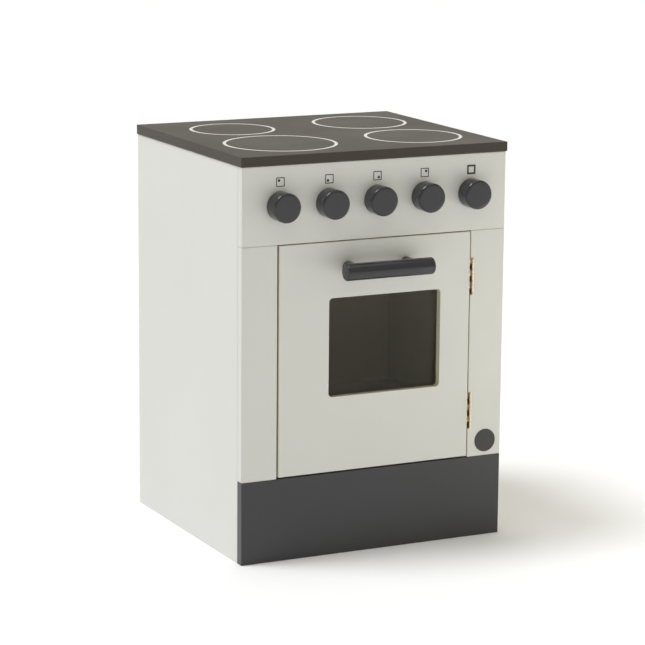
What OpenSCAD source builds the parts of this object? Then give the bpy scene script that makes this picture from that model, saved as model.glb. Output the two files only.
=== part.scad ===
// Toy kitchen: a small wooden stove with a hinged oven door, a bar handle and five turning knobs.
// X runs to the right, Y to the back and Z up. The origin is on the floor, under the middle of
// the whole object, so the door handle counts in the depth.

/* [Cabinet] */
// Height of the worktop's upper face
kitchen_h = 500; // [470:1:560]
// Width of the worktop
worktop_w = 361; // [350:1:420]
// Depth of the worktop
worktop_d = 323.5; // [300:0.5:360]
// How far the worktop stands past the cabinet at the front and sides
overhang = 1.5; // [0:0.5:10]
// Thickness of every board
board_t = 12; // [12:0.5:15]
// Height of the plinth
plinth_h = 103.5; // [90:0.5:120]
// Height of the control panel
control_h = 96; // [80:0.5:110]
// Width of each stile beside the door
stile_w = 47; // [44:0.1:60]
// Height of the oven floor's upper face
oven_floor_z = 143; // [136:1:160]
// Distance from the cabinet's front to the back panel's front face
back_panel_y = 280; // [200:1:290]
// Radius of the eased edges of the white boards
edge_r = 1; // [0.5:0.1:2]
// Radius of the eased edges of the worktop
worktop_edge_r = 1.2; // [0.5:0.1:3]

/* [Door] */
// Gap round the door at the top and at the hinges
door_gap = 1; // [0.5:0.1:2]
// Gap beside the door's free edge
door_gap_free = 2.3; // [0.7:0.1:3]
// Gap under the door
door_gap_bottom = 1.6; // [0.5:0.1:3]
// Width of the window
window_w = 153; // [100:1:180]
// Height of the window
window_h = 123; // [80:0.5:150]
// Distance of the window's centre from the cabinet's middle, towards the hinges
window_x = 13.8; // [0:0.1:20]
// Height of the window's centre above the floor
window_z = 260.3; // [240:0.1:270]
// Corner radius of the window
window_r = 5; // [2:0.5:12]
// Thickness of the acrylic pane, which lies in a rebate of the door's back
pane_t = 3; // [2:0.5:4]
// How far the pane laps over the door on each side of the window
pane_lap = 14; // [12:0.5:16]

/* [Handle] */
// Diameter of the bar
handle_d = 21; // [18:0.5:26]
// Length of the bar
handle_l = 118.5; // [90:0.5:160]
// Height of the bar's axis above the floor
handle_z = 358.8; // [350:0.1:370]
// Distance of the bar's middle from the cabinet's middle, towards the hinges
handle_x = 1.6; // [0:0.1:3]
// Distance from the door's face to the bar's axis
handle_reach = 32.5; // [28:0.5:45]
// Diameter of the two posts
post_d = 15; // [10:0.5:16]
// Distance between the two posts
post_pitch = 79.5; // [60:0.5:85]

/* [Knobs] */
// Number of knobs
knob_count = 5; // [5:1:5]
// Diameter of a knob
knob_d = 36.2; // [28:0.2:42]
// Distance from the panel to a knob's front face
knob_l = 22; // [20:0.5:30]
// Distance between neighbouring knobs
knob_pitch = 64.8; // [50:0.1:66]
// Distance of the middle knob from the cabinet's middle, towards the hinges
knob_row_x = 0.8; // [0:0.1:3]
// Height of the knobs above the floor
knob_z = 439.2; // [430:0.1:450]
// Radius of the eased front edge of a knob
knob_edge_r = 1.8; // [0.5:0.1:3]
// Height of the printed signs above the floor
icon_z = 468; // [464:0.1:472]
// Side of a printed sign
icon_side = 11.3; // [9:0.1:14]
// Line width of a printed sign
icon_line = 1.1; // [0.5:0.1:1.2]

/* [Hob rings] */
// Line width of a printed hob ring
ring_line = 4; // [2:0.5:5]
// Outer radius of the large ring, front left
ring_large_r = 70.5; // [60:0.5:72]
// Outer radius of the two medium rings on the right
ring_medium_r = 61.5; // [50:0.5:62]
// Outer radius of the small ring, back left
ring_small_r = 54.5; // [40:0.5:56]

/* [Hinges] */
// Length of each hinge
hinge_l = 45.8; // [40:0.2:55]
// Height of the upper hinge's centre
hinge_upper_z = 334.2; // [320:0.1:345]
// Height of the lower hinge's centre
hinge_lower_z = 163.4; // [150:0.1:180]
// Number of knuckles on each hinge, shared by its two leaves
knuckles = 6; // [4:2:8]
// Radius of the knuckles
knuckle_r = 1.4; // [1.3:0.1:1.6]
// Radius of the hinge pin
hinge_pin_r = 0.6; // [0.5:0.1:0.8]

/* [Hidden] */
$fn = 72;

// Clearance round a fixed piece in its hole, and round a turning piece in its bore
fit = 0.05;
// Small overlap that lets a cut run past a face
cut = 0.5;

// The cabinet's outline
cabinet_w = worktop_w - 2 * overhang;
cabinet_d = worktop_d - overhang;
cabinet_x = cabinet_w / 2;
inner_x = cabinet_x - board_t;
side_mid_x = cabinet_x - board_t / 2;
front_proud = handle_reach + handle_d / 2;
front_y = (front_proud - cabinet_d) / 2;
rear_y = front_y + cabinet_d;
boards_y = front_y + board_t;
front_mid_y = front_y + board_t / 2;
side_top_z = kitchen_h - board_t;
control_z = side_top_z - control_h;
stile_x = cabinet_x - stile_w;
stile_mid_x = cabinet_x - stile_w / 2;
back_front_y = front_y + back_panel_y;
back_rear_y = back_front_y + board_t;
back_mid_y = back_front_y + board_t / 2;

// The door's outline
door_x = stile_x - door_gap;
door_free_x = -stile_x + door_gap_free;
door_z0 = plinth_h + door_gap_bottom;
door_z1 = control_z - door_gap;

// Hinges: one vertical axis, just in front of the stile's face. The frame leaf lies at the bottom of
// a mortise in the stile; the door leaf's knuckles reach the axis by a crank through that mortise.
hinge_x = stile_x + 2.5;
hinge_proud = 1.9;
hinge_y = front_y - hinge_proud;
leaf_t = 1;
leaf_d = 10;
leaf_setback = 0.4;
mortise_d = 3;
frame_leaf_x = stile_x + mortise_d - leaf_t;
crank_play = 0.2;
crank_y = front_y + 2.4;
knuckle_h = hinge_l / knuckles;
knuckle_play = 0.15;
hinge_screw_r = 1.2;
hinge_screw_head_r = 2.2;
hinge_screw_l = 11;
hinge_screw_z = [-15.2, 0, 15.2];
hinge_screw_y = front_y + 6.2;

// Wooden dowels in the board joints
dowel_r = 3;
dowel_l = 25;
dowel_in_board = 8;
dowel_slack = 0.5;
plinth_dowel_z = [28, 76];
stile_dowel_z = [150, 250, 350];
control_dowel_z = [412, 464];
side_dowel_y = [front_y + 60, front_y + 165, front_y + 262];
front_dowel_x = [-98, 98];

// Cam bolts and cam locks in the oven floor and the back panel
cam_r = 7.5;
cam_h = 9.5;
cam_inset = 24;
cam_bolt_r = 2.5;
cam_head_r = 3.1;
cam_head_l = 3;
cam_thread_r = 3;
cam_thread_l = 9;
cam_floor_y = [front_y + 62, front_y + 228];
cam_back_z = [58, 262, 450];

// Knob fixings
knob_gap = 0.5;
knob_screw_r = 2.5;
knob_screw_depth = 15;
bush_r = 4;
bush_flange_r = 7;
bush_flange_t = 0.4;
washer_r = 7.5;
washer_t = 1;
play = 0.1;

// Magnetic catch at the door's free edge
catch_z = 250;
catch_l = 42;
catch_w = 13;
catch_d = 13;
catch_flange_w = 17;
catch_flange_t = 3;
magnet_w = 7;
magnet_l = 24;
strike_t = 1;
catch_x = -stile_x + 3.3;

// Prints and badge
print_t = 0.15;
badge_r = 14.5;
badge_t = 0.6;
badge_x = 156.9;
badge_z = 123;

WHITE = "#dcdcd8";
DARK = "#46474b";
SLATE = "#77726b";
PALE = "#c9c6bf";
BRASS = "#c9a46a";
STEEL = "#a9abad";
BEECH = "#d8b98c";
SMOKE = "#3a3630";
NYLON = "#e9e7e0";

function knob_x(i) = knob_row_x + (i - (knob_count + 1) / 2) * knob_pitch;

// ---- Shapes that repeat ----

module rod_x(x0, x1, y, z, r) {
    translate([min(x0, x1), y, z]) rotate([0, 90, 0]) cylinder(h = abs(x1 - x0), r = r);
}

module rod_y(x, y0, y1, z, r) {
    translate([x, max(y0, y1), z]) rotate([90, 0, 0]) cylinder(h = abs(y1 - y0), r = r);
}

module rod_z(x, y, z0, z1, r) {
    translate([x, y, min(z0, z1)]) cylinder(h = abs(z1 - z0), r = r);
}

// Rectangle from the origin with round corners
module eased_rectangle(w, h, r) {
    translate([r, 0]) square([w - 2 * r, h]);
    translate([0, r]) square([w, h - 2 * r]);
    for (x = [r, w - r], y = [r, h - r]) translate([x, y]) circle(r = r);
}

// Board between two corners, with every edge eased to radius r
module board(low, high, r = edge_r) {
    size = high - low;
    translate(low) intersection() {
        linear_extrude(size.z) eased_rectangle(size.x, size.y, r);
        translate([0, size.y, 0]) rotate([90, 0, 0])
            linear_extrude(size.y) eased_rectangle(size.x, size.z, r);
        rotate([90, 0, 90]) linear_extrude(size.x) eased_rectangle(size.y, size.z, r);
    }
}

// Flat plate in the XZ plane with round corners, centred on x and z, from y0 to y1
module plate_xz(x, z, w, h, r, y0, y1) {
    translate([x - w / 2, y1, z - h / 2]) rotate([90, 0, 0])
        linear_extrude(y1 - y0) eased_rectangle(w, h, r);
}

// Cross recess of a screw, at the origin and cut downwards
module cross_recess(width, depth) {
    slot = width / 4;
    translate([-width / 2, -slot / 2, -depth]) cube([width, slot, depth + cut]);
    translate([-slot / 2, -width / 2, -depth]) cube([slot, width, depth + cut]);
}

// Countersunk screw with its head's top at the origin, pointing down
module countersunk_screw(r, head_r, length) {
    head_h = head_r - r;
    difference() {
        union() {
            translate([0, 0, -head_h]) cylinder(h = head_h, r1 = r, r2 = head_r);
            translate([0, 0, -length]) cylinder(h = length - head_h, r = r);
        }
        cross_recess(head_r * 1.1, head_h * 0.7);
    }
}

// Hole that takes a countersunk screw with a little room
module countersunk_hole(r, head_r, length) {
    head_h = head_r - r;
    translate([0, 0, -length - fit]) cylinder(h = length + fit + cut, r = r + fit);
    translate([0, 0, -head_h]) cylinder(h = head_h, r1 = r + fit, r2 = head_r + fit);
    cylinder(h = cut, r = head_r + fit);
}

// Pan-head screw with the underside of its head at the origin, pointing down
module pan_screw(r, head_r, head_h, length) {
    difference() {
        union() {
            cylinder(h = head_h * 0.55, r = head_r);
            translate([0, 0, head_h * 0.55])
                cylinder(h = head_h * 0.45, r1 = head_r, r2 = head_r * 0.7);
            translate([0, 0, -length]) cylinder(h = length + cut, r = r);
        }
        translate([0, 0, head_h]) cross_recess(head_r * 1.1, head_h * 0.6);
    }
}

// ---- Dowels and cam fittings, and the holes that hold them ----

// Dowels from the side panels' front edges into the front boards
module front_dowels(side, levels, grow = 0) {
    slack = grow > 0 ? dowel_slack : 0;
    for (z = levels)
        rod_y(side * side_mid_x, boards_y - dowel_in_board - slack,
              boards_y - dowel_in_board + dowel_l + slack, z, dowel_r + grow);
}

// Dowels that stand across the seams above and below a stile
module seam_dowels(side, grow = 0) {
    slack = grow > 0 ? dowel_slack : 0;
    for (z = [plinth_h, control_z])
        rod_z(side * stile_mid_x, front_mid_y, z - dowel_l / 2 - slack,
              z + dowel_l / 2 + slack, dowel_r + grow);
}

// Dowels from a side panel's top edge into the worktop
module side_top_dowels(side, grow = 0) {
    slack = grow > 0 ? dowel_slack : 0;
    for (y = side_dowel_y)
        rod_z(side * side_mid_x, y, side_top_z + dowel_in_board - dowel_l - slack,
              side_top_z + dowel_in_board + slack, dowel_r + grow);
}

// Dowels from the control panel and the back panel into the worktop
module cross_top_dowels(y, grow = 0) {
    slack = grow > 0 ? dowel_slack : 0;
    for (x = front_dowel_x)
        rod_z(x, y, side_top_z + dowel_in_board - dowel_l - slack,
              side_top_z + dowel_in_board + slack, dowel_r + grow);
}

module cam_bolt(side) {
    rod_x(side * (inner_x + cam_thread_l), side * inner_x, 0, 0, cam_thread_r);
    rod_x(side * inner_x, side * (inner_x - cam_inset + cam_head_l / 2), 0, 0, cam_bolt_r);
    rod_x(side * (inner_x - cam_inset + cam_head_l / 2), side * (inner_x - cam_inset - cam_head_l / 2),
          0, 0, cam_head_r);
}

module cam_bolt_hole(side) {
    rod_x(side * (inner_x + cam_thread_l + fit), side * inner_x, 0, 0, cam_thread_r + fit);
    rod_x(side * (inner_x + cut), side * (inner_x - cam_inset), 0, 0, cam_head_r + fit);
}

// Cam lock that opens along Z at z = 0, with its bolt's channel in the middle of the board
module cam_lock(side) {
    difference() {
        cylinder(h = cam_h, r = cam_r);
        translate([-side * (inner_x - cam_inset), 0, board_t / 2])
            rod_x(side * (inner_x - cam_inset - cam_head_l), side * (inner_x - cam_inset + cam_r + cut),
                  0, 0, cam_head_r + 2 * fit);
        rotate([180, 0, 0]) cross_recess(cam_r, 1.5);
    }
}

// Places children at each cam bolt of one side: first the oven floor, then the back panel
module at_floor_bolts() {
    for (y = cam_floor_y) translate([0, y, oven_floor_z - board_t / 2]) children();
}

module at_back_bolts() {
    for (z = cam_back_z) translate([0, back_mid_y, z]) children();
}

module cam_pockets_floor(side) {
    for (y = cam_floor_y)
        rod_z(side * (inner_x - cam_inset), y, oven_floor_z - board_t - cut,
              oven_floor_z - board_t + cam_h + fit, cam_r + fit);
}

module cam_pockets_back(side) {
    for (z = cam_back_z)
        rod_y(side * (inner_x - cam_inset), back_rear_y - cam_h - fit, back_rear_y + cut, z, cam_r + fit);
}

// ---- Cabinet ----

module worktop() {
    color(SLATE) difference() {
        board([-worktop_w / 2, front_y - overhang, side_top_z], [worktop_w / 2, rear_y, kitchen_h],
              worktop_edge_r);
        for (side = [-1, 1]) side_top_dowels(side, fit);
        cross_top_dowels(front_mid_y, fit);
        cross_top_dowels(back_mid_y, fit);
        all_hob_rings(cut);
    }
}

module side_panel(side) {
    x = side > 0 ? inner_x : -cabinet_x;
    color(WHITE) difference() {
        board([x, boards_y, 0], [x + board_t, rear_y, side_top_z]);
        front_dowels(side, plinth_dowel_z, fit);
        front_dowels(side, stile_dowel_z, fit);
        front_dowels(side, control_dowel_z, fit);
        side_top_dowels(side, fit);
        at_floor_bolts() cam_bolt_hole(side);
        at_back_bolts() cam_bolt_hole(side);
    }
}

module left_side() { side_panel(-1); }

module right_side() { side_panel(1); }

module back_panel() {
    color(WHITE) difference() {
        board([-inner_x, back_front_y, 0], [inner_x, back_rear_y, side_top_z]);
        cross_top_dowels(back_mid_y, fit);
        for (side = [-1, 1]) {
            at_back_bolts() cam_bolt_hole(side);
            cam_pockets_back(side);
        }
    }
}

module oven_floor() {
    color(WHITE) difference() {
        board([-inner_x, boards_y + door_gap, oven_floor_z - board_t], [inner_x, back_front_y, oven_floor_z]);
        for (side = [-1, 1]) {
            at_floor_bolts() cam_bolt_hole(side);
            cam_pockets_floor(side);
        }
    }
}

module control_panel() {
    color(WHITE) difference() {
        board([-cabinet_x, front_y, control_z], [cabinet_x, boards_y, side_top_z]);
        cross_top_dowels(front_mid_y, fit);
        for (side = [-1, 1]) {
            front_dowels(side, control_dowel_z, fit);
            seam_dowels(side, fit);
        }
        for (i = [1 : knob_count]) rod_y(knob_x(i), front_y - cut, boards_y + cut, knob_z, bush_r + fit);
    }
}

module stile(side) {
    x = side > 0 ? stile_x : -cabinet_x;
    difference() {
        board([x, front_y, plinth_h], [x + stile_w, boards_y, control_z]);
        front_dowels(side, stile_dowel_z, fit);
        seam_dowels(side, fit);
    }
}

module left_stile() {
    color(WHITE) difference() {
        stile(-1);
        for (end = [-1, 1])
            translate([catch_screw_x, boards_y + catch_flange_t, catch_z + end * catch_screw_z])
                rotate([-90, 0, 0]) translate([0, 0, -catch_flange_t - 8])
                    cylinder(h = catch_flange_t + 8, r = catch_screw_r + fit);
    }
}

module right_stile() {
    color(WHITE) difference() {
        stile(1);
        for (z = [hinge_upper_z, hinge_lower_z]) {
            translate([stile_x - cut, front_y - cut, z - hinge_l / 2 - fit])
                cube([mortise_d + cut + fit, leaf_setback + leaf_d + cut + fit, hinge_l + 2 * fit]);
            at_hinge_screws(z)
                rod_x(frame_leaf_x, frame_leaf_x + hinge_screw_l + fit, 0, 0, hinge_screw_r + fit);
        }
    }
}

module plinth() {
    color(DARK) difference() {
        board([-cabinet_x, front_y, 0], [cabinet_x, boards_y, plinth_h]);
        for (side = [-1, 1]) {
            front_dowels(side, plinth_dowel_z, fit);
            seam_dowels(side, fit);
        }
    }
}

module wood_dowels() {
    color(BEECH) {
        for (side = [-1, 1]) {
            front_dowels(side, plinth_dowel_z);
            front_dowels(side, stile_dowel_z);
            front_dowels(side, control_dowel_z);
            seam_dowels(side);
            side_top_dowels(side);
        }
        cross_top_dowels(front_mid_y);
        cross_top_dowels(back_mid_y);
    }
}

module cam_bolts() {
    color(STEEL) for (side = [-1, 1]) {
        at_floor_bolts() cam_bolt(side);
        at_back_bolts() cam_bolt(side);
    }
}

module cam_locks() {
    color(STEEL) for (side = [-1, 1]) {
        for (y = cam_floor_y)
            translate([side * (inner_x - cam_inset), y, oven_floor_z - board_t]) cam_lock(side);
        for (z = cam_back_z)
            translate([side * (inner_x - cam_inset), back_rear_y, z]) rotate([90, 0, 0]) cam_lock(side);
    }
}

// ---- Prints and badge ----

// Ring centres on the worktop, measured from its middle
ring_large_at = [-84.7, -67];
ring_small_at = [-85.8, 73];
ring_right_front_at = [96.4, -71.5];
ring_right_back_at = [93.5, 71.5];
worktop_mid_y = (front_y + rear_y) / 2;

// One ring, printed flush with the worktop; extra makes the cut for it run past the surface
module hob_ring(at, r, extra) {
    translate([at.x, worktop_mid_y + at.y, kitchen_h - print_t]) difference() {
        cylinder(h = print_t + extra, r = r);
        translate([0, 0, -cut]) cylinder(h = print_t + extra + 2 * cut, r = r - ring_line);
    }
}

module all_hob_rings(extra) {
    hob_ring(ring_large_at, ring_large_r, extra);
    hob_ring(ring_small_at, ring_small_r, extra);
    hob_ring(ring_right_front_at, ring_medium_r, extra);
    hob_ring(ring_right_back_at, ring_medium_r, extra);
}

module hob_rings() {
    color(PALE) all_hob_rings(0);
}

// Square frame of one sign
module icon_frame(i, side, line) {
    difference() {
        plate_xz(knob_x(i), icon_z, side, side, 1, front_y - print_t, front_y);
        plate_xz(knob_x(i), icon_z, side - 2 * line, side - 2 * line, 0.4,
                 front_y - print_t - cut, front_y + cut);
    }
}

// Each sign's dot stands for one hob ring; the last sign, an empty bold square, is the oven's
module knob_icons() {
    dot_r = 1.7;
    dot_off = icon_side / 6;
    corners = [[-1, 1], [-1, -1], [1, -1], [1, 1]];
    color(DARK) {
        for (i = [1 : 4]) {
            icon_frame(i, icon_side, icon_line);
            rod_y(knob_x(i) + corners[i - 1].x * dot_off, front_y - print_t, front_y,
                  icon_z + corners[i - 1].y * dot_off, dot_r);
        }
        icon_frame(knob_count, 1.05 * icon_side, 2.1 * icon_line);
    }
}

module badge() {
    color(DARK) rod_y(badge_x, front_y - badge_t, front_y, badge_z, badge_r);
}

// ---- Knobs ----

// Turned knob: a plain cylinder with an eased front edge and a blind hole at the back
module knob(i) {
    r = knob_d / 2;
    length = knob_l - knob_gap;
    color(DARK) translate([knob_x(i), front_y - knob_gap, knob_z]) rotate([90, 0, 0]) difference() {
        rotate_extrude() {
            square([r, length - knob_edge_r]);
            square([r - knob_edge_r, length]);
            translate([r - knob_edge_r, length - knob_edge_r]) intersection() {
                circle(r = knob_edge_r);
                square(knob_edge_r);
            }
        }
        translate([0, 0, -cut]) cylinder(h = knob_screw_depth + cut + dowel_slack, r = knob_screw_r + fit);
    }
}

module knob_1() { knob(1); }

module knob_2() { knob(2); }

module knob_3() { knob(3); }

module knob_4() { knob(4); }

module knob_5() { knob(5); }

// Pan-head screw that passes through the panel from behind and turns with its knob
module knob_screw(i) {
    seat_y = boards_y + washer_t + 2 * play;
    length = seat_y - front_y + knob_gap + knob_screw_depth;
    color(STEEL) translate([knob_x(i), seat_y, knob_z]) rotate([-90, 0, 0])
        pan_screw(knob_screw_r, 4.6, 3.4, length);
}

module knob_screw_1() { knob_screw(1); }

module knob_screw_2() { knob_screw(2); }

module knob_screw_3() { knob_screw(3); }

module knob_screw_4() { knob_screw(4); }

module knob_screw_5() { knob_screw(5); }

// Flanged nylon sleeves that line the holes of the control panel
module knob_bushes() {
    color(NYLON) for (i = [1 : knob_count]) difference() {
        union() {
            rod_y(knob_x(i), front_y - bush_flange_t, front_y, knob_z, bush_flange_r);
            rod_y(knob_x(i), front_y - bush_flange_t, boards_y, knob_z, bush_r);
        }
        rod_y(knob_x(i), front_y - bush_flange_t - cut, boards_y + cut, knob_z, knob_screw_r + fit);
    }
}

module knob_washers() {
    color(STEEL) for (i = [1 : knob_count]) difference() {
        rod_y(knob_x(i), boards_y + play, boards_y + play + washer_t, knob_z, washer_r);
        rod_y(knob_x(i), boards_y - cut, boards_y + washer_t + cut, knob_z, knob_screw_r + 2 * fit);
    }
}

// ---- Door ----

pane_screw_r = 1.5;
pane_screw_l = 6;
pane_screw_edge = 7;
pane_play = 0.3;
// Room for a film of sealant between the pane and the floor of its rebate
pane_seat = 0.1;
pane_screw_x = [for (k = [-1, 0, 1]) window_x + k * (window_w / 2 + pane_lap - pane_screw_edge)];
pane_screw_z = [for (k = [-1, 1]) window_z + k * (window_h / 2 + pane_lap - pane_screw_edge)];

// Places children at the pane's screws, on the pane's rear face, with +Z pointing backwards
module at_pane_screws() {
    for (x = pane_screw_x, z = pane_screw_z)
        translate([x, boards_y, z]) rotate([-90, 0, 0]) children();
}

// The pane's outline, or the rebate for it when grow is above 0
module pane_block(grow = 0) {
    seat = grow > 0 ? pane_seat : 0;
    plate_xz(window_x, window_z, window_w + 2 * (pane_lap + grow), window_h + 2 * (pane_lap + grow),
             window_r + grow, boards_y - pane_t - seat, boards_y + (grow > 0 ? cut : 0));
}

module at_handle_screws() {
    for (side = [-1, 1])
        translate([post_x(side), boards_y, handle_z]) rotate([-90, 0, 0]) children();
}

function post_x(side) = handle_x + side * post_pitch / 2;

handle_screw_r = 2;
handle_screw_head_r = 4;
handle_screw_l = 34;
strike_x = catch_x + catch_w / 2;
strike_w = 12;
strike_l = 34;
strike_r = 2;
strike_screw_r = 1.4;
strike_screw_head_r = strike_screw_r + strike_t;
strike_screw_l = 10;

module oven_door() {
    color(WHITE) difference() {
        board([door_free_x, front_y, door_z0], [door_x, boards_y, door_z1]);
        plate_xz(window_x, window_z, window_w, window_h, window_r, front_y - cut, boards_y + cut);
        pane_block(pane_play);
        at_pane_screws() translate([0, 0, -pane_t - pane_screw_l])
            cylinder(h = pane_t + pane_screw_l, r = pane_screw_r + fit);
        at_handle_screws() countersunk_hole(handle_screw_r, handle_screw_head_r, handle_screw_l);
        at_strike_screw() translate([0, 0, -strike_screw_l - fit])
            cylinder(h = strike_screw_l, r = strike_screw_r + fit);
        for (z = [hinge_upper_z, hinge_lower_z]) {
            translate([door_x - leaf_t - fit, front_y - cut, z - hinge_l / 2 - fit])
                cube([leaf_t + cut + fit, leaf_setback + leaf_d + cut + fit, hinge_l + 2 * fit]);
            at_hinge_screws(z) rod_x(door_x - hinge_screw_l - fit, door_x, 0, 0, hinge_screw_r + fit);
        }
    }
}

module window_pane() {
    color(SMOKE) difference() {
        pane_block();
        at_pane_screws() translate([0, 0, -pane_t - cut])
            cylinder(h = pane_t + 2 * cut, r = pane_screw_r + 2 * fit);
    }
}

module pane_screws() {
    color(STEEL) at_pane_screws() pan_screw(pane_screw_r, 3, 2, pane_t + pane_screw_l - cut);
}

// The bar's end is a cylinder with an eased rim
module handle_bar() {
    r = handle_d / 2;
    rim = 1.5;
    socket_y = front_y - handle_reach - 2;
    color(DARK) difference() {
        translate([handle_x - handle_l / 2, front_y - handle_reach, handle_z]) rotate([0, 90, 0])
            rotate_extrude() {
                translate([0, rim]) square([r, handle_l - 2 * rim]);
                square([r - rim, handle_l]);
                for (z = [rim, handle_l - rim]) translate([r - rim, z]) circle(r = rim);
            }
        for (side = [-1, 1])
            rod_y(post_x(side), socket_y, front_y - handle_reach + r + cut, handle_z, post_d / 2 + fit);
    }
}

module handle_posts() {
    color(DARK) difference() {
        for (side = [-1, 1])
            rod_y(post_x(side), front_y - handle_reach - 1.5, front_y, handle_z, post_d / 2);
        at_handle_screws() countersunk_hole(handle_screw_r, handle_screw_head_r, handle_screw_l + fit);
    }
}

module handle_screws() {
    color(STEEL) at_handle_screws()
        countersunk_screw(handle_screw_r, handle_screw_head_r, handle_screw_l);
}

// ---- Hinges ----

// Places children at the height and depth of a hinge's screws, at x = 0
module at_hinge_screws(z) {
    for (dz = hinge_screw_z) translate([0, hinge_screw_y, z + dz]) children();
}

// Every second knuckle, from the first or the second one
module knuckle_rows(z, first) {
    for (k = [first : 2 : knuckles - 1])
        translate([hinge_x, hinge_y, z - hinge_l / 2 + k * knuckle_h + knuckle_play / 2])
            children();
}

module knuckle_bores(z) {
    rod_z(hinge_x, hinge_y, z - hinge_l / 2 - cut, z + hinge_l / 2 + cut, hinge_pin_r + fit);
}

module frame_leaf(z) {
    height = knuckle_h - knuckle_play;
    color(BRASS) difference() {
        union() {
            translate([frame_leaf_x, front_y + leaf_setback, z - hinge_l / 2])
                cube([leaf_t, leaf_d, hinge_l]);
            knuckle_rows(z, 0) {
                cylinder(h = height, r = knuckle_r);
                translate([frame_leaf_x - hinge_x, 0, 0])
                    cube([leaf_t, hinge_proud + leaf_setback + cut, height]);
            }
        }
        knuckle_bores(z);
        at_hinge_screws(z) translate([frame_leaf_x, 0, 0]) rotate([0, -90, 0])
            countersunk_hole(hinge_screw_r, hinge_screw_head_r, leaf_t + cut);
    }
}

module door_leaf(z) {
    height = knuckle_h - knuckle_play;
    leaf_x = door_x - leaf_t - hinge_x;
    neck_x = frame_leaf_x - crank_play - hinge_x;
    neck_t = knuckle_r + neck_x;
    color(BRASS) difference() {
        union() {
            translate([door_x - leaf_t, front_y + leaf_setback, z - hinge_l / 2])
                cube([leaf_t, leaf_d, hinge_l]);
            knuckle_rows(z, 1) {
                cylinder(h = height, r = knuckle_r);
                translate([neck_x - neck_t, 0, 0])
                    cube([neck_t, crank_y - hinge_y + leaf_t, height]);
                translate([leaf_x, crank_y - hinge_y, 0])
                    cube([neck_x - leaf_x, leaf_t, height]);
            }
        }
        knuckle_bores(z);
        at_hinge_screws(z) translate([door_x, 0, 0]) rotate([0, 90, 0])
            countersunk_hole(hinge_screw_r, hinge_screw_head_r, leaf_t + cut);
    }
}

module hinge_pin(z) {
    head_r = 1.1;
    head_t = 0.5;
    color(BRASS) {
        rod_z(hinge_x, hinge_y, z - hinge_l / 2, z + hinge_l / 2, hinge_pin_r);
        for (end = [-1, 1])
            rod_z(hinge_x, hinge_y, z + end * hinge_l / 2, z + end * (hinge_l / 2 + head_t), head_r);
    }
}

module upper_hinge_frame_leaf() { frame_leaf(hinge_upper_z); }

module lower_hinge_frame_leaf() { frame_leaf(hinge_lower_z); }

module upper_hinge_door_leaf() { door_leaf(hinge_upper_z); }

module lower_hinge_door_leaf() { door_leaf(hinge_lower_z); }

module upper_hinge_pin() { hinge_pin(hinge_upper_z); }

module lower_hinge_pin() { hinge_pin(hinge_lower_z); }

module hinge_frame_screws() {
    color(BRASS) for (z = [hinge_upper_z, hinge_lower_z])
        at_hinge_screws(z) translate([frame_leaf_x, 0, 0]) rotate([0, -90, 0])
            countersunk_screw(hinge_screw_r, hinge_screw_head_r, hinge_screw_l);
}

module hinge_door_screws() {
    color(BRASS) for (z = [hinge_upper_z, hinge_lower_z])
        at_hinge_screws(z) translate([door_x, 0, 0]) rotate([0, 90, 0])
            countersunk_screw(hinge_screw_r, hinge_screw_head_r, hinge_screw_l);
}

// ---- Magnetic catch ----

catch_screw_r = 1.5;
catch_screw_x = -stile_x - catch_flange_w / 2;
catch_screw_z = 13;
catch_face_y = boards_y + strike_t + play;

module catch_housing() {
    color(NYLON) difference() {
        union() {
            translate([catch_x, catch_face_y, catch_z - catch_l / 2]) cube([catch_w, catch_d, catch_l]);
            translate([-stile_x - catch_flange_w, boards_y, catch_z - catch_l / 2])
                cube([catch_flange_w, catch_flange_t, catch_l]);
            translate([-stile_x - 2, catch_face_y, catch_z - catch_l / 2])
                cube([catch_x + stile_x + 3, catch_d, catch_l]);
        }
        translate([strike_x - magnet_w / 2 - fit, catch_face_y - cut, catch_z - magnet_l / 2 - fit])
            cube([magnet_w + 2 * fit, 9 + cut, magnet_l + 2 * fit]);
        for (end = [-1, 1])
            rod_y(catch_screw_x, boards_y - cut, boards_y + catch_flange_t + cut,
                  catch_z + end * catch_screw_z, catch_screw_r + 2 * fit);
    }
}

module catch_magnet() {
    color("#3c3b3a")
        translate([strike_x - magnet_w / 2, catch_face_y, catch_z - magnet_l / 2])
            cube([magnet_w, 9 - fit, magnet_l]);
}

module catch_screws() {
    color(STEEL) for (end = [-1, 1])
        translate([catch_screw_x, boards_y + catch_flange_t, catch_z + end * catch_screw_z])
            rotate([-90, 0, 0]) pan_screw(catch_screw_r, 2.8, 1.8, catch_flange_t + 7.5);
}

// Places children at the strike plate's screw, on the plate's rear face
module at_strike_screw() {
    translate([strike_x, boards_y + strike_t, catch_z]) rotate([-90, 0, 0]) children();
}

// Steel plate on the back of the door, which the magnet holds
module strike_plate() {
    color(STEEL) difference() {
        plate_xz(strike_x, catch_z, strike_w, strike_l, strike_r, boards_y, boards_y + strike_t);
        at_strike_screw() countersunk_hole(strike_screw_r, strike_screw_head_r, strike_screw_l);
    }
}

module strike_screw() {
    color(STEEL) at_strike_screw()
        countersunk_screw(strike_screw_r, strike_screw_head_r, strike_screw_l);
}

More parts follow.
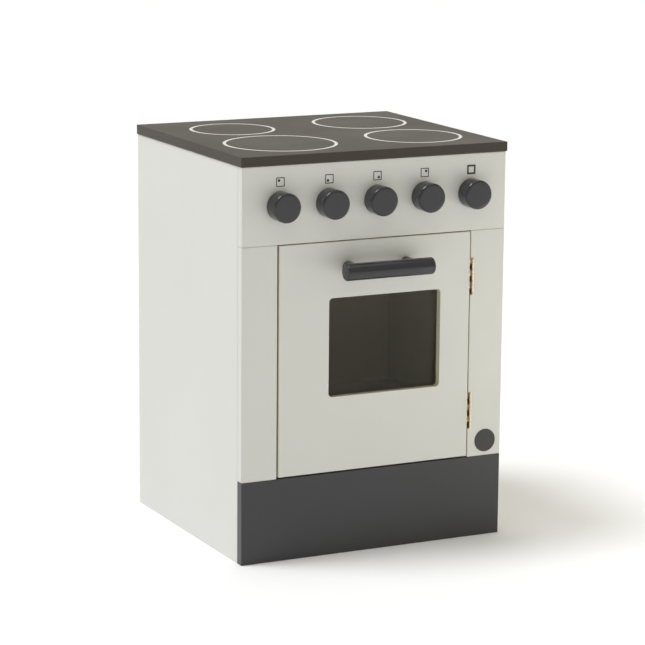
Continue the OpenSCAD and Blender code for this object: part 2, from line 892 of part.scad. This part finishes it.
worktop();
left_side();
right_side();
back_panel();
oven_floor();
control_panel();
left_stile();
right_stile();
plinth();
wood_dowels();
cam_bolts();
cam_locks();
hob_rings();
knob_icons();
badge();
knob_1();
knob_2();
knob_3();
knob_4();
knob_5();
knob_screw_1();
knob_screw_2();
knob_screw_3();
knob_screw_4();
knob_screw_5();
knob_bushes();
knob_washers();
oven_door();
window_pane();
pane_screws();
handle_bar();
handle_posts();
handle_screws();
upper_hinge_frame_leaf();
lower_hinge_frame_leaf();
upper_hinge_door_leaf();
lower_hinge_door_leaf();
upper_hinge_pin();
lower_hinge_pin();
hinge_frame_screws();
hinge_door_screws();
catch_housing();
catch_magnet();
catch_screws();
strike_plate();
strike_screw();
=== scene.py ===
"""Looks of the toy kitchen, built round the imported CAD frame: materials, turned pieces, light, camera."""

import math

import bmesh
import bpy
from mathutils import Matrix, Vector


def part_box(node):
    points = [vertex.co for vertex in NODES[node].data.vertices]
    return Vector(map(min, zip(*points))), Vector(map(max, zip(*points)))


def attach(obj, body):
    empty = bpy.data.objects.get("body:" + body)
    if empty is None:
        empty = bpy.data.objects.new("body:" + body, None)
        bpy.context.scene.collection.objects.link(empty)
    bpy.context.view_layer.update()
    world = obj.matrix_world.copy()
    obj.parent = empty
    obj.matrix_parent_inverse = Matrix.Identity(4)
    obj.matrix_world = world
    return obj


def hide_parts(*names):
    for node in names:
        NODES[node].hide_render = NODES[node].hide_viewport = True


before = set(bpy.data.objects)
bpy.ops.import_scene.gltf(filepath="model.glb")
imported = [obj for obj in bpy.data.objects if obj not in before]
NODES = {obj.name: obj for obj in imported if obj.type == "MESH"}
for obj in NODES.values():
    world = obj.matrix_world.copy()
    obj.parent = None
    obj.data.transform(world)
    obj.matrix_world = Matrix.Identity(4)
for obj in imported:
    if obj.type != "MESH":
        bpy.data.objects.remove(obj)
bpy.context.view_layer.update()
MM = 0.001


def srgb(red, green, blue):
    """A display colour from 0 to 255 as the linear colour that a shader takes."""
    parts = [c / 255 for c in (red, green, blue)]
    return tuple(c / 12.92 if c <= 0.04045 else ((c + 0.055) / 1.055) ** 2.4 for c in parts) + (1.0,)


# ---- Materials ----

class Graph:
    """One material's nodes, added by short calls that each return an output socket."""

    def __init__(self, name, roughness=0.4, metallic=0.0, ior=1.5):
        self.material = bpy.data.materials.new(name)
        self.material.use_nodes = True
        self.tree = self.material.node_tree
        self.shader = self.tree.nodes["Principled BSDF"]
        self.shader.inputs["Roughness"].default_value = roughness
        self.shader.inputs["Metallic"].default_value = metallic
        self.shader.inputs["IOR"].default_value = ior
        self.place = self.add("ShaderNodeTexCoord").outputs["Object"]

    def add(self, kind, **fields):
        node = self.tree.nodes.new(kind)
        for field, value in fields.items():
            setattr(node, field, value)
        return node

    def feed(self, socket, value):
        if isinstance(value, bpy.types.NodeSocket):
            self.tree.links.new(value, socket)
        else:
            socket.default_value = value

    def set(self, name, value):
        self.feed(self.shader.inputs[name], value)

    def maths(self, operation, a, b=0.0):
        node = self.add("ShaderNodeMath", operation=operation)
        self.feed(node.inputs[0], a)
        self.feed(node.inputs[1], b)
        return node.outputs[0]

    def between(self, value, low, high, to_low=0.0, to_high=1.0):
        """value from low..high, held at both ends, as to_low..to_high."""
        node = self.add("ShaderNodeMapRange", clamp=True, interpolation_type="SMOOTHSTEP")
        for socket, number in zip(node.inputs, (value, low, high, to_low, to_high)):
            self.feed(socket, number)
        return node.outputs[0]

    def noise(self, scale, detail=2.0, stretch=(1, 1, 1), shift=(0, 0, 0), roughness=0.5):
        place = self.add("ShaderNodeMapping")
        self.feed(place.inputs["Vector"], self.place)
        place.inputs["Scale"].default_value = stretch
        place.inputs["Location"].default_value = shift
        node = self.add("ShaderNodeTexNoise")
        self.feed(node.inputs["Vector"], place.outputs[0])
        node.inputs["Scale"].default_value = scale
        node.inputs["Detail"].default_value = detail
        node.inputs["Roughness"].default_value = roughness
        return node.outputs["Fac"]

    def part(self, kind, output, index):
        """One coordinate of a vector that a node of this kind gives."""
        node = self.add("ShaderNodeSeparateXYZ")
        self.feed(node.inputs[0], self.add(kind).outputs[output])
        return node.outputs[index]

    def mix(self, share, a, b):
        node = self.add("ShaderNodeMix", data_type="RGBA")
        self.feed(node.inputs[0], share)
        self.feed(node.inputs[6], a)
        self.feed(node.inputs[7], b)
        return node.outputs[2]

    def bump(self, height, distance, under=None):
        node = self.add("ShaderNodeBump")
        node.inputs["Distance"].default_value = distance
        self.feed(node.inputs["Height"], height)
        if under is not None:
            self.feed(node.inputs["Normal"], under)
        return node.outputs[0]

    def edge_distance(self, low, high):
        """Distance from a point on a box's surface to the box's nearest edge."""
        place = self.add("ShaderNodeSeparateXYZ")
        self.feed(place.inputs[0], self.place)
        near = []
        for i in range(3):
            over = self.maths("SUBTRACT", place.outputs[i], low[i])
            under = self.maths("SUBTRACT", high[i], place.outputs[i])
            near.append(self.maths("MINIMUM", over, under))
        smaller = self.maths("MINIMUM", near[0], near[1])
        larger = self.maths("MAXIMUM", near[0], near[1])
        return self.maths("MAXIMUM", smaller, self.maths("MINIMUM", larger, near[2]))


# Painted shade on the narrow faces round the door and its window, standing for the dim, warm light in their
# gaps and reveals, as a share of the paint's colour on the wide ones, and how far from the cabinet's middle
# it goes, in metres
GAP_SHADE_TONE = (0.95, 0.88, 0.74)
GAP_SHADE_REACH = 0.16

# How far wear comes in from a board's edge, and how much its border wavers
WEAR_WIDTH = 0.7 * MM
WEAR_WAVER = 1.2 * MM

# Height of the long waves that a paint roller leaves
ROLLER_WAVE = 0.02 * MM

# Height of the fine grain on ink, plastic and plated metal
FINE_GRAIN = 0.01 * MM


def seed_of(name):
    """A shift of the noise patterns that is the same each run and differs between materials."""
    number = sum(ord(c) * (i + 3) for i, c in enumerate(name))
    return (number % 17 * 0.37, number % 23 * 0.29, number % 29 * 0.31)


def scaled(colour, factor):
    return tuple(c * factor for c in colour[:3]) + (1.0,)


def scaled_parts(colour, factors):
    return tuple(c * f for c, f in zip(colour, factors)) + (1.0,)


def paint(name, colour, worn, roughness, box=None, wear=0.3, shaded_gap_axis=None, peel_depth=0.006, ior=1.5):
    """Lacquer on a board or on turned wood: even colour, faint orange peel, rubbed corners.

    box is the board's box, for the wear along its edges, and wear is how strong that is. The axis across
    the board, when given, picks out the narrow faces beside it: all but those at the cabinet's corners get
    a warm painted shade for the dim gaps and reveals round the door. peel_depth, in millimetres, is the
    height of the orange peel.
    """
    g = Graph(name, roughness=roughness, ior=ior)
    shift = seed_of(name)
    patches = g.noise(7, detail=3, shift=shift)
    specks = g.noise(900, detail=2, shift=shift)
    body = g.mix(g.between(patches, 0.3, 0.7), colour, scaled(colour, 0.985))
    body = g.mix(g.between(specks, 0.4, 0.8, 0, 0.03), body, worn)
    # Painted shade: narrow faces round the door and window turn darker and warmer, standing for the dim
    # warm light in their gaps and reveals
    if shaded_gap_axis is not None:
        facing = g.maths("ABSOLUTE", g.part("ShaderNodeNewGeometry", "Normal", shaded_gap_axis))
        aside = g.maths("ABSOLUTE", g.part("ShaderNodeTexCoord", "Object", 0))
        inside = g.maths("LESS_THAN", aside, GAP_SHADE_REACH)
        narrow = g.maths("MULTIPLY", g.between(facing, 0.3, 0.8, 1, 0), inside)
        body = g.mix(narrow, body, scaled_parts(colour, GAP_SHADE_TONE))
    if box is not None:
        ragged = g.maths("MULTIPLY", g.noise(140, detail=4, shift=shift), WEAR_WAVER)
        inward = g.maths("SUBTRACT", g.edge_distance(*box), ragged)
        body = g.mix(g.between(inward, 0.0, WEAR_WIDTH, wear, 0.0), body, worn)
    g.set("Base Color", body)
    g.set("Roughness", g.between(patches, 0.3, 0.75, roughness - 0.03, roughness + 0.04))
    waves = g.bump(g.noise(40, detail=2, shift=shift), ROLLER_WAVE)
    g.set("Normal", g.bump(g.noise(1100, detail=3, shift=shift), peel_depth * MM, under=waves))
    return g.material


def wood(name, light, dark, along):
    """Bare beech with fine grain lines along one axis."""
    g = Graph(name, roughness=0.55)
    stretch = [60, 60, 60]
    stretch[along] = 3
    grain = g.noise(14, detail=5, stretch=tuple(stretch), roughness=0.6)
    g.set("Base Color", g.mix(g.between(grain, 0.35, 0.7), light, dark))
    g.set("Normal", g.bump(grain, 0.05 * MM))
    return g.material


def metal(name, colour, tarnish, roughness):
    """Plated metal with tarnish in spots and fine upright scratches."""
    g = Graph(name, roughness=roughness, metallic=1.0)
    spots = g.noise(260, detail=4)
    g.set("Base Color", g.mix(g.between(spots, 0.45, 0.7, 0, 0.8), colour, tarnish))
    g.set("Roughness", g.between(spots, 0.4, 0.7, roughness, roughness + 0.2))
    g.set("Normal", g.bump(g.noise(2600, detail=2, stretch=(1, 1, 0.15)), FINE_GRAIN))
    return g.material


def printed(name, colour, faded, roughness):
    """Ink with slight gaps and unevenness."""
    g = Graph(name, roughness=roughness)
    speckle = g.noise(1500, detail=3)
    g.set("Base Color", g.mix(g.between(speckle, 0.5, 0.8, 0, 0.6), colour, faded))
    g.set("Normal", g.bump(speckle, FINE_GRAIN))
    return g.material


def plastic(name, colour, roughness):
    """Moulded plastic, slightly cloudy, with a fine matt grain."""
    g = Graph(name, roughness=roughness)
    cloud = g.noise(120, detail=3)
    g.set("Base Color", g.mix(g.between(cloud, 0.3, 0.7, 0, 0.3), colour, scaled(colour, 0.85)))
    g.set("Normal", g.bump(g.noise(1800, detail=2), FINE_GRAIN))
    return g.material


def smoked(name, tint, gloss):
    """Lightly smoked acrylic: clear, slightly brown, with a face that mirrors more at a slant.

    A ray meets two faces of the pane, so tint is the square root of what one pane lets through.
    """
    g = Graph(name)
    clear = g.add("ShaderNodeBsdfTransparent")
    haze = g.noise(60, detail=4)
    g.feed(clear.inputs["Color"], g.mix(g.between(haze, 0.3, 0.7), tint, scaled(tint, 0.99)))
    shine = g.add("ShaderNodeBsdfGlossy")
    shine.inputs["Roughness"].default_value = 0.06
    slant = g.add("ShaderNodeLayerWeight")
    slant.inputs["Blend"].default_value = gloss
    both = g.add("ShaderNodeMixShader")
    g.feed(both.inputs[0], slant.outputs["Facing"])
    g.feed(both.inputs[1], clear.outputs[0])
    g.feed(both.inputs[2], shine.outputs[0])
    g.feed(g.tree.nodes["Material Output"].inputs["Surface"], both.outputs[0])
    g.tree.nodes.remove(g.shader)
    return g.material


WHITE = srgb(220, 220, 217)
WHITE_WORN = srgb(204, 198, 182)
DARK = srgb(53, 53, 57)
DARK_WORN = srgb(92, 91, 92)
TOP = srgb(66, 60, 54)
TURNED = srgb(50, 50, 55)

WHITE_ROUGHNESS = 0.38
PLINTH_ROUGHNESS = 0.33
TOP_ROUGHNESS = 0.47
TURNED_ROUGHNESS = 0.12

# What one face of the pane lets through, and how early its mirroring sets in
PANE_TINT = (0.93, 0.905, 0.85, 1.0)
PANE_GLOSS = 0.05

# The boards that meet round the door are thin across Y, and their narrow faces get painted gap shade; the
# others are plain on every face
FRONT_BOARDS = ("control_panel", "left_stile", "right_stile", "oven_door")
OTHER_BOARDS = ("left_side", "right_side", "back_panel", "oven_floor")
ACROSS_Y = 1
ALONG_Z = 2

ZINC_PARTS = ("cam_bolts", "cam_locks", "knob_washers", "pane_screws", "handle_screws", "catch_screws",
              "strike_plate", "strike_screw", "knob_screw_1", "knob_screw_2", "knob_screw_3",
              "knob_screw_4", "knob_screw_5")
BRASS_PARTS = ("upper_hinge_frame_leaf", "lower_hinge_frame_leaf", "upper_hinge_door_leaf",
               "lower_hinge_door_leaf", "upper_hinge_pin", "lower_hinge_pin", "hinge_frame_screws",
               "hinge_door_screws")


def dress(node, material):
    slots = NODES[node].data.materials
    slots.clear()
    slots.append(material)


for node in FRONT_BOARDS:
    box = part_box(node)
    dress(node, paint("paint_" + node, WHITE, WHITE_WORN, WHITE_ROUGHNESS, box, shaded_gap_axis=ACROSS_Y))
for node in OTHER_BOARDS:
    dress(node, paint("paint_" + node, WHITE, WHITE_WORN, WHITE_ROUGHNESS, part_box(node)))
dress("plinth", paint("paint_plinth", DARK, DARK_WORN, PLINTH_ROUGHNESS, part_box("plinth")))
top_paint = paint("paint_worktop", TOP, DARK_WORN, TOP_ROUGHNESS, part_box("worktop"), wear=0.2, ior=1.37)
dress("worktop", top_paint)
turned = paint("paint_turned", TURNED, DARK_WORN, TURNED_ROUGHNESS, peel_depth=0.0015)
dress("wood_dowels", wood("beech", srgb(222, 190, 146), srgb(184, 144, 98), ALONG_Z))

zinc = metal("zinc", srgb(198, 200, 202), srgb(140, 142, 146), 0.3)
brass = metal("brass", srgb(224, 211, 188), srgb(180, 163, 138), 0.32)
for node in ZINC_PARTS:
    dress(node, zinc)
for node in BRASS_PARTS:
    dress(node, brass)
dress("hob_rings", printed("pale_ink", srgb(232, 230, 224), srgb(176, 172, 164), 0.45))
dress("knob_icons", printed("dark_ink", srgb(58, 56, 54), srgb(92, 88, 82), 0.5))
dress("badge", printed("badge_ink", srgb(46, 46, 46), srgb(70, 70, 70), 0.4))
dress("knob_bushes", plastic("nylon", srgb(226, 224, 214), 0.45))
dress("catch_housing", plastic("catch_plastic", srgb(222, 218, 206), 0.45))
dress("catch_magnet", plastic("magnet", srgb(58, 57, 56), 0.5))
dress("window_pane", smoked("smoked_acrylic", PANE_TINT, PANE_GLOSS))


# ---- Turned pieces: knobs, handle bar and its posts ----

LATHE_SIDES = 128
SHARP_ANGLE = 40


def quarter_turn(along, radius, ease, steps=10):
    """Points (along, radius) of a rounded rim that ends a cylinder of this radius at this place."""
    angles = [math.radians(90) * i / steps for i in range(steps + 1)]
    return [(along - ease * (1 - math.sin(a)), radius - ease * (1 - math.cos(a))) for a in angles]


def lathe(mesh, outline, base, axis):
    """Adds a closed turned solid. outline holds (along, radius) points from base, in metres."""
    across = axis.orthogonal().normalized()
    around = axis.cross(across)
    rings = []
    for along, radius in outline:
        ring = []
        for k in range(LATHE_SIDES):
            angle = 2 * math.pi * k / LATHE_SIDES
            spoke = across * math.cos(angle) + around * math.sin(angle)
            ring.append(mesh.verts.new(base + axis * along + spoke * radius))
        rings.append(ring)
    for low, high in zip(rings, rings[1:]):
        for k in range(LATHE_SIDES):
            n = (k + 1) % LATHE_SIDES
            mesh.faces.new((low[k], low[n], high[n], high[k]))
    for ring, place in ((rings[0], outline[0][0]), (rings[-1], outline[-1][0])):
        pole = mesh.verts.new(base + axis * place)
        for k in range(LATHE_SIDES):
            mesh.faces.new((ring[k], ring[(k + 1) % LATHE_SIDES], pole))


def piece_from(name, mesh, body, nodes):
    """Makes an object of the finished mesh, which rides on a body and stands for CAD nodes."""
    bmesh.ops.recalc_face_normals(mesh, faces=mesh.faces)
    data = bpy.data.meshes.new(name)
    mesh.to_mesh(data)
    mesh.free()
    data.shade_smooth()
    data.set_sharp_from_angle(angle=math.radians(SHARP_ANGLE))
    data.materials.append(turned)
    piece = bpy.data.objects.new(name, data)
    bpy.context.scene.collection.objects.link(piece)
    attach(piece, body)
    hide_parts(*nodes)


KNOB_RIM = 2.9 * MM
KNOB_BACK_RIM = 0.5 * MM
# How far the middle of a knob's face stands out
KNOB_DOME = 0.12 * MM


def make_knob(number):
    """A turned knob with a soft front rim and a slightly crowned face."""
    low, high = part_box("knob_%d" % number)
    radius = (high.x - low.x) / 2
    length = high.y - low.y
    base = Vector(((low.x + high.x) / 2, high.y, (low.z + high.z) / 2))
    rim = quarter_turn(KNOB_BACK_RIM, radius, KNOB_BACK_RIM)
    back = [(KNOB_BACK_RIM - along, r) for along, r in reversed(rim)]
    front = quarter_turn(length - KNOB_DOME, radius, KNOB_RIM)
    face = radius - KNOB_RIM
    crown = [(length - KNOB_DOME * share ** 2, face * share) for share in (0.85, 0.7, 0.5, 0.3, 0.1)]
    mesh = bmesh.new()
    lathe(mesh, back + front + crown, base, Vector((0, -1, 0)))
    piece_from("turned_knob_%d" % number, mesh, "knob_%d_turning" % number, ["knob_%d" % number])


for number in range(1, 6):
    make_knob(number)

BAR_RIM = 2.2 * MM
# The rounding at a post's foot, and the length of its last ring, which lies inside the bar
POST_FOOT = 0.6 * MM
POST_SINK = 2.0 * MM

bar_low, bar_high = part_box("handle_bar")
post_low, post_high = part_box("handle_posts")
bar_r = (bar_high.z - bar_low.z) / 2
bar_y = (bar_low.y + bar_high.y) / 2
bar_z = (bar_low.z + bar_high.z) / 2
bar_length = bar_high.x - bar_low.x
start = [(BAR_RIM - along, r) for along, r in reversed(quarter_turn(BAR_RIM, bar_r, BAR_RIM))]
end = quarter_turn(bar_length, bar_r, BAR_RIM)
mesh = bmesh.new()
lathe(mesh, start + end, Vector((bar_low.x, bar_y, bar_z)), Vector((1, 0, 0)))
piece_from("turned_handle_bar", mesh, "door", ["handle_bar"])

post_r = (post_high.z - post_low.z) / 2
mesh = bmesh.new()
for post_x in (post_low.x + post_r, post_high.x - post_r):
    foot = [(0.0, post_r - POST_FOOT), (POST_FOOT * 0.3, post_r - POST_FOOT * 0.3), (POST_FOOT, post_r)]
    reach = post_high.y - bar_y
    shank = [(reach * 0.5, post_r), (reach - POST_SINK, post_r), (reach, post_r)]
    lathe(mesh, foot + shank, Vector((post_x, post_high.y, bar_z)), Vector((0, -1, 0)))
piece_from("turned_handle_posts", mesh, "door", ["handle_posts"])


# ---- Floor, light and camera ----

FLOOR_HALF = 60.0


def floor_plane(half):
    mesh = bpy.data.meshes.new("floor")
    corners = [(-half, -half, 0), (half, -half, 0), (half, half, 0), (-half, half, 0)]
    mesh.from_pydata(corners, [], [(0, 1, 2, 3)])
    floor = bpy.data.objects.new("floor", mesh)
    bpy.context.scene.collection.objects.link(floor)
    g = Graph("studio_floor", roughness=0.9)
    mottle = g.between(g.noise(3), 0.3, 0.7, 0, 0.02)
    g.set("Base Color", g.mix(mottle, srgb(253, 253, 254), srgb(250, 250, 251)))
    floor.data.materials.append(g.material)


floor_plane(FLOOR_HALF)

# The point near the object's middle that the softbox faces
AIM = Vector((0, 0, 0.25))


def add_light(name, kind, energy, colour, toward):
    data = bpy.data.lights.new(name, kind)
    data.energy = energy
    data.color = colour
    light = bpy.data.objects.new(name, data)
    light.rotation_mode = "QUATERNION"
    light.rotation_quaternion = toward.to_track_quat("-Z", "Y")
    bpy.context.scene.collection.objects.link(light)
    return light


def far_light(name, azimuth, elevation, angle, strength, colour):
    """A broad light far away, at the front for azimuth 0 and at the right for 90.

    Strength 1 lights a white card that faces it fully.
    """
    a, e = math.radians(azimuth), math.radians(elevation)
    source = Vector((math.sin(a) * math.cos(e), -math.cos(a) * math.cos(e), math.sin(e)))
    light = add_light(name, "SUN", strength * math.pi, colour, -source)
    light.data.angle = math.radians(angle)


def softbox(name, place, side, power, colour):
    """A square soft light near the object, which the camera doesn't see."""
    light = add_light(name, "AREA", power, colour, AIM - Vector(place))
    light.data.size = side
    light.location = place
    light.visible_camera = False


far_light("key_left", -110, 65, 22, 0.51, (0.91, 0.94, 1.0))
far_light("low_left", -60, 58, 30, 0.07, (0.88, 0.89, 1.0))
far_light("low_right", 85, 12, 45, 0.16, (1.0, 0.98, 0.93))
far_light("overhead", 0, 89, 60, 0.13, (0.95, 0.88, 1.0))
softbox("front_fill", (0.6, -0.52, 0.04), 0.5, 1.15, (1.0, 1.0, 0.8))

# The studio's glow: even all round, with a bright backdrop low behind the object
ROOM_GLOW = (0.39, 0.382, 0.305, 1)
BACKDROP_GLOW = (0.84, 0.82, 0.75, 1)
world = bpy.data.worlds.new("studio")
bpy.context.scene.world = world
world.use_nodes = True
tree = world.node_tree
place = tree.nodes.new("ShaderNodeTexCoord")
parts = tree.nodes.new("ShaderNodeSeparateXYZ")
tree.links.new(place.outputs["Generated"], parts.inputs[0])


def glow_share(output, numbers):
    """A smooth step; numbers are the input's low and high ends and what they give."""
    node = tree.nodes.new("ShaderNodeMapRange")
    node.interpolation_type = "SMOOTHSTEP"
    tree.links.new(output, node.inputs[0])
    for socket, number in zip(node.inputs[1:5], numbers):
        socket.default_value = number
    return node.outputs[0]


low_down = glow_share(parts.outputs[2], (0.25, 0.65, 1, 0))
behind = glow_share(parts.outputs[1], (-0.3, 0.5, 0, 1))
backdrop = tree.nodes.new("ShaderNodeMath")
backdrop.operation = "MULTIPLY"
tree.links.new(low_down, backdrop.inputs[0])
tree.links.new(behind, backdrop.inputs[1])
glow = tree.nodes.new("ShaderNodeMix")
glow.data_type = "RGBA"
glow.inputs[6].default_value = ROOM_GLOW
glow.inputs[7].default_value = BACKDROP_GLOW
tree.links.new(backdrop.outputs[0], glow.inputs[0])
tree.links.new(glow.outputs[2], tree.nodes["Background"].inputs["Color"])

# A long lens a little above and to the left: focal length in pixels of a square frame, then the place,
# measured from the control panel's front, and the turns about the upright, sideways and viewing axes
FOCAL_PX = 2737.23
FRAME_PX = 645
SENSOR_MM = 36.0
FRONT_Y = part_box("control_panel")[0].y
CAMERA_PLACE = Vector((-1.50426, FRONT_Y - 2.90705, 0.96174))
TURN = -0.4579
TILT = 0.2035
ROLL = 0.0082

forward = Vector((-math.sin(TURN) * math.cos(TILT), math.cos(TURN) * math.cos(TILT), -math.sin(TILT)))
level = Vector((math.cos(TURN), math.sin(TURN), 0))
upward = level.cross(forward)
right = level * math.cos(ROLL) + upward * math.sin(ROLL)
up = upward * math.cos(ROLL) - level * math.sin(ROLL)

camera = bpy.data.objects.new("camera", bpy.data.cameras.new("camera"))
camera.data.sensor_width = SENSOR_MM
camera.data.lens = FOCAL_PX / FRAME_PX * SENSOR_MM
camera.data.clip_end = 100
camera.matrix_world = Matrix((
    (right.x, up.x, -forward.x, CAMERA_PLACE.x),
    (right.y, up.y, -forward.y, CAMERA_PLACE.y),
    (right.z, up.z, -forward.z, CAMERA_PLACE.z),
    (0, 0, 0, 1),
))
bpy.context.scene.collection.objects.link(camera)
bpy.context.scene.camera = camera

bpy.context.scene.view_settings.view_transform = "Standard"

bpy.context.view_layer.update()
